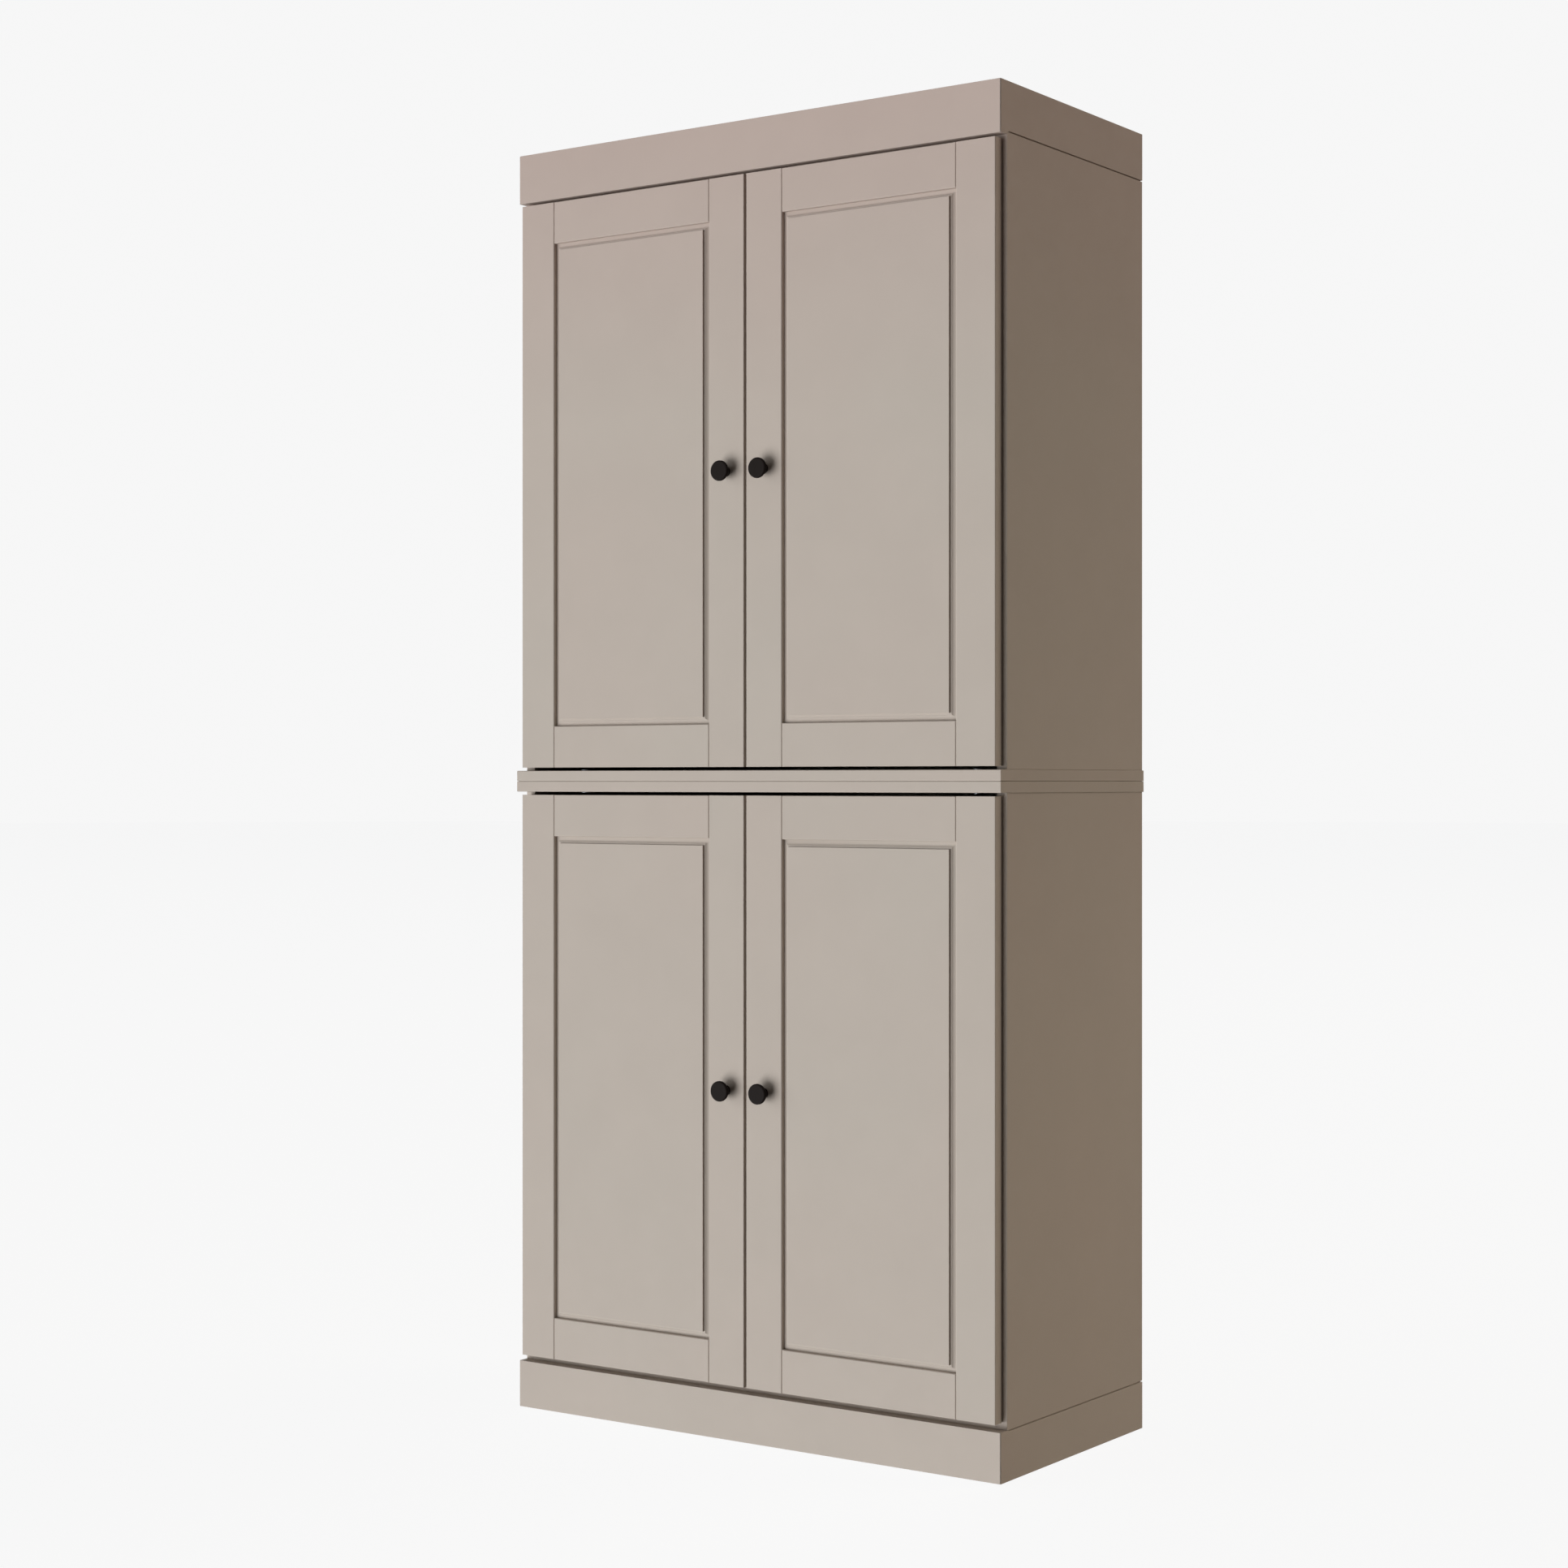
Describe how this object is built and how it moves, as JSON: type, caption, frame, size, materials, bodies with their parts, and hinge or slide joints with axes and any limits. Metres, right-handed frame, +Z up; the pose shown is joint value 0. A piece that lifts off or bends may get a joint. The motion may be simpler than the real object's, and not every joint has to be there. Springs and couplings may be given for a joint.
{
  "type": "pantry cabinet",
  "caption": "Tall stacked pantry cabinet with framed raised-panel doors, round black knobs, adjustable shelves, a plain crown and a plinth.",
  "frame": {"origin": "middle of the footprint on the floor; the footprint runs from the knobs' faces to the rear edges", "axes": "+X to the right seen from the front, +Y to the back, +Z up; the doors face -Y"},
  "size_m": [0.806, 0.408, 1.8],
  "materials": {
    "greige_paint": "satin paint on board",
    "black_metal": "matte black coating",
    "plated_steel": "nickel-plated steel",
    "beech": "bare beech",
    "bumper_rubber": "soft translucent"
  },
  "bodies": {
    "cabinet": {"cam_fittings": "plated_steel", "crown_front": "greige_paint", "crown_left": "greige_paint", "crown_rear": "greige_paint", "crown_right": "greige_paint", "crown_top": "greige_paint", "door_bumpers": "bumper_rubber", "dowels": "beech", "hinge_arms": "plated_steel", "hinge_plates": "plated_steel", "lower_back_panel": "greige_paint", "lower_bottom_board": "greige_paint", "lower_high_shelf": "greige_paint", "lower_left_side": "greige_paint", "lower_low_shelf": "greige_paint", "lower_right_side": "greige_paint", "lower_top_board": "greige_paint", "module_bolts": "plated_steel", "mounting_screws": "plated_steel", "plinth_front": "greige_paint", "plinth_left": "greige_paint", "plinth_rear": "greige_paint", "plinth_right": "greige_paint", "shelf_pins": "plated_steel", "upper_back_panel": "greige_paint", "upper_bottom_board": "greige_paint", "upper_high_shelf": "greige_paint", "upper_left_side": "greige_paint", "upper_low_shelf": "greige_paint", "upper_right_side": "greige_paint", "upper_top_board": "greige_paint", "wall_brackets": "plated_steel"},
    "upper_left_door": {"upper_left_door_bottom_rail": "greige_paint", "upper_left_door_hinge_cups": "plated_steel", "upper_left_door_hinge_stile": "greige_paint", "upper_left_door_knob": "black_metal", "upper_left_door_lock_stile": "greige_paint", "upper_left_door_panel": "greige_paint", "upper_left_door_top_rail": "greige_paint"},
    "upper_right_door": {"upper_right_door_bottom_rail": "greige_paint", "upper_right_door_hinge_cups": "plated_steel", "upper_right_door_hinge_stile": "greige_paint", "upper_right_door_knob": "black_metal", "upper_right_door_lock_stile": "greige_paint", "upper_right_door_panel": "greige_paint", "upper_right_door_top_rail": "greige_paint"},
    "lower_left_door": {"lower_left_door_bottom_rail": "greige_paint", "lower_left_door_hinge_cups": "plated_steel", "lower_left_door_hinge_stile": "greige_paint", "lower_left_door_knob": "black_metal", "lower_left_door_lock_stile": "greige_paint", "lower_left_door_panel": "greige_paint", "lower_left_door_top_rail": "greige_paint"},
    "lower_right_door": {"lower_right_door_bottom_rail": "greige_paint", "lower_right_door_hinge_cups": "plated_steel", "lower_right_door_hinge_stile": "greige_paint", "lower_right_door_knob": "black_metal", "lower_right_door_lock_stile": "greige_paint", "lower_right_door_panel": "greige_paint", "lower_right_door_top_rail": "greige_paint"}
  },
  "joints": [
    {"name": "upper_left_door_hinge", "type": "hinge", "parent": "cabinet", "child": "upper_left_door", "pos_m": [-0.3875, -0.179, 1.32275], "axis": [0, 0, -1], "range_deg": [0, 95]},
    {"name": "upper_right_door_hinge", "type": "hinge", "parent": "cabinet", "child": "upper_right_door", "pos_m": [0.3875, -0.179, 1.32275], "axis": [0, 0, 1], "range_deg": [0, 95]},
    {"name": "lower_left_door_hinge", "type": "hinge", "parent": "cabinet", "child": "lower_left_door", "pos_m": [-0.3875, -0.179, 0.47785], "axis": [0, 0, -1], "range_deg": [0, 95]},
    {"name": "lower_right_door_hinge", "type": "hinge", "parent": "cabinet", "child": "lower_right_door", "pos_m": [0.3875, -0.179, 0.47785], "axis": [0, 0, 1], "range_deg": [0, 95]}
  ]
}
